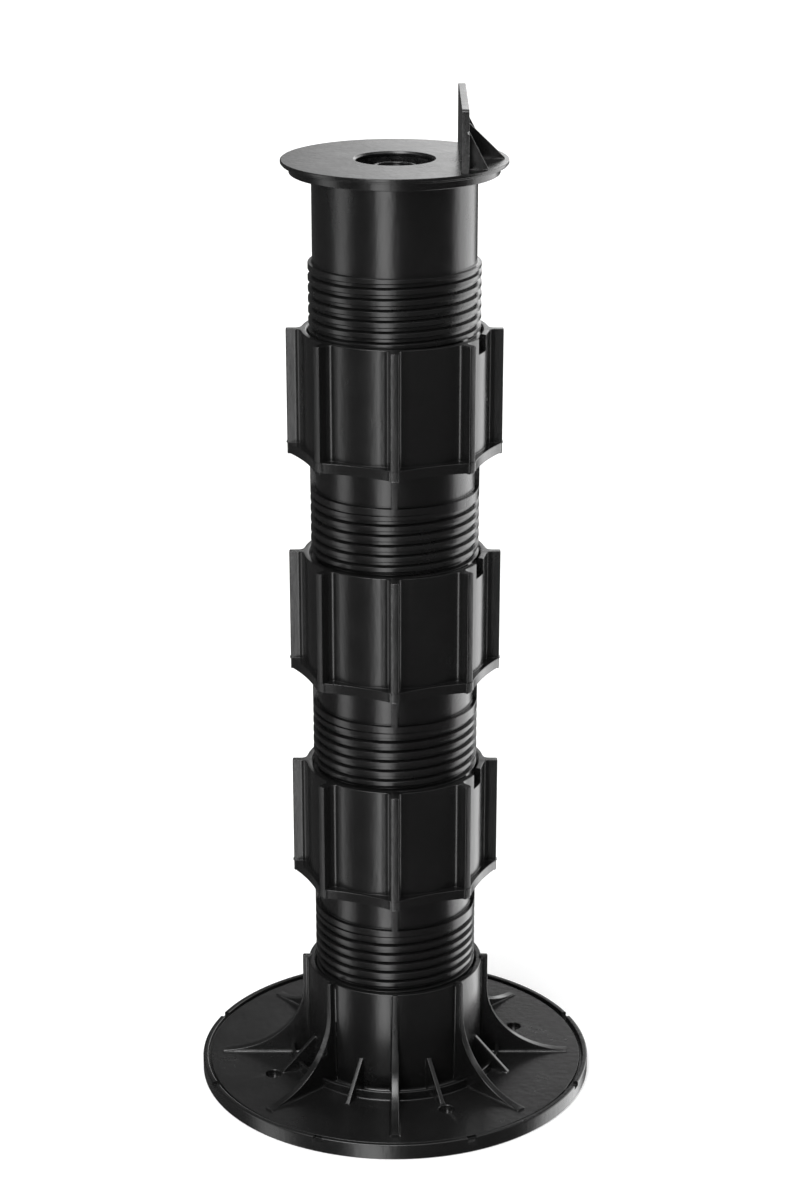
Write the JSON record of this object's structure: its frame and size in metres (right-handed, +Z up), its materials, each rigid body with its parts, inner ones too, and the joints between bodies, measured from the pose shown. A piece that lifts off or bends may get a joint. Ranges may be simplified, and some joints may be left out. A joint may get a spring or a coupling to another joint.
{
  "type": "raised floor pedestal",
  "caption": "Screw-adjustable raised floor pedestal: finned foot, stacked threaded couplers, screw tube with bowl and a self-levelling head with a joist tab.",
  "frame": {"origin": "centre of the foot's underside, on the floor", "axes": "+Z up along the screw axis, -Y to the front, +X towards the joist tab's outer side"},
  "size_m": [0.2, 0.2, 0.4959],
  "materials": {
    "foot_plastic": "satin",
    "coupler_plastic": "satin",
    "tube_plastic": "satin",
    "head_plastic": "satin"
  },
  "bodies": {
    "foot": {"base": "foot_plastic"},
    "lower_coupler": {"coupler_1": "coupler_plastic"},
    "middle_coupler": {"coupler_2": "coupler_plastic"},
    "upper_coupler": {"coupler_3": "coupler_plastic"},
    "screw_tube": {"top_tube": "tube_plastic"},
    "levelling_head": {"head": "head_plastic"}
  },
  "joints": [
    {"name": "lower_height", "type": "slide", "parent": "foot", "child": "lower_coupler", "axis": [0, 0, 1], "range_m": [-0.0315, 0.013]},
    {"name": "middle_height", "type": "slide", "parent": "lower_coupler", "child": "middle_coupler", "axis": [0, 0, 1], "range_m": [-0.0315, 0.013]},
    {"name": "upper_height", "type": "slide", "parent": "middle_coupler", "child": "upper_coupler", "axis": [0, 0, 1], "range_m": [-0.0315, 0.013]},
    {"name": "tube_height", "type": "slide", "parent": "upper_coupler", "child": "screw_tube", "axis": [0, 0, 1], "range_m": [-0.0305, 0.013]},
    {"name": "head_lift", "type": "slide", "parent": "screw_tube", "child": "levelling_head", "axis": [0, 0, 1], "range_m": [0, 0.031]}
  ]
}
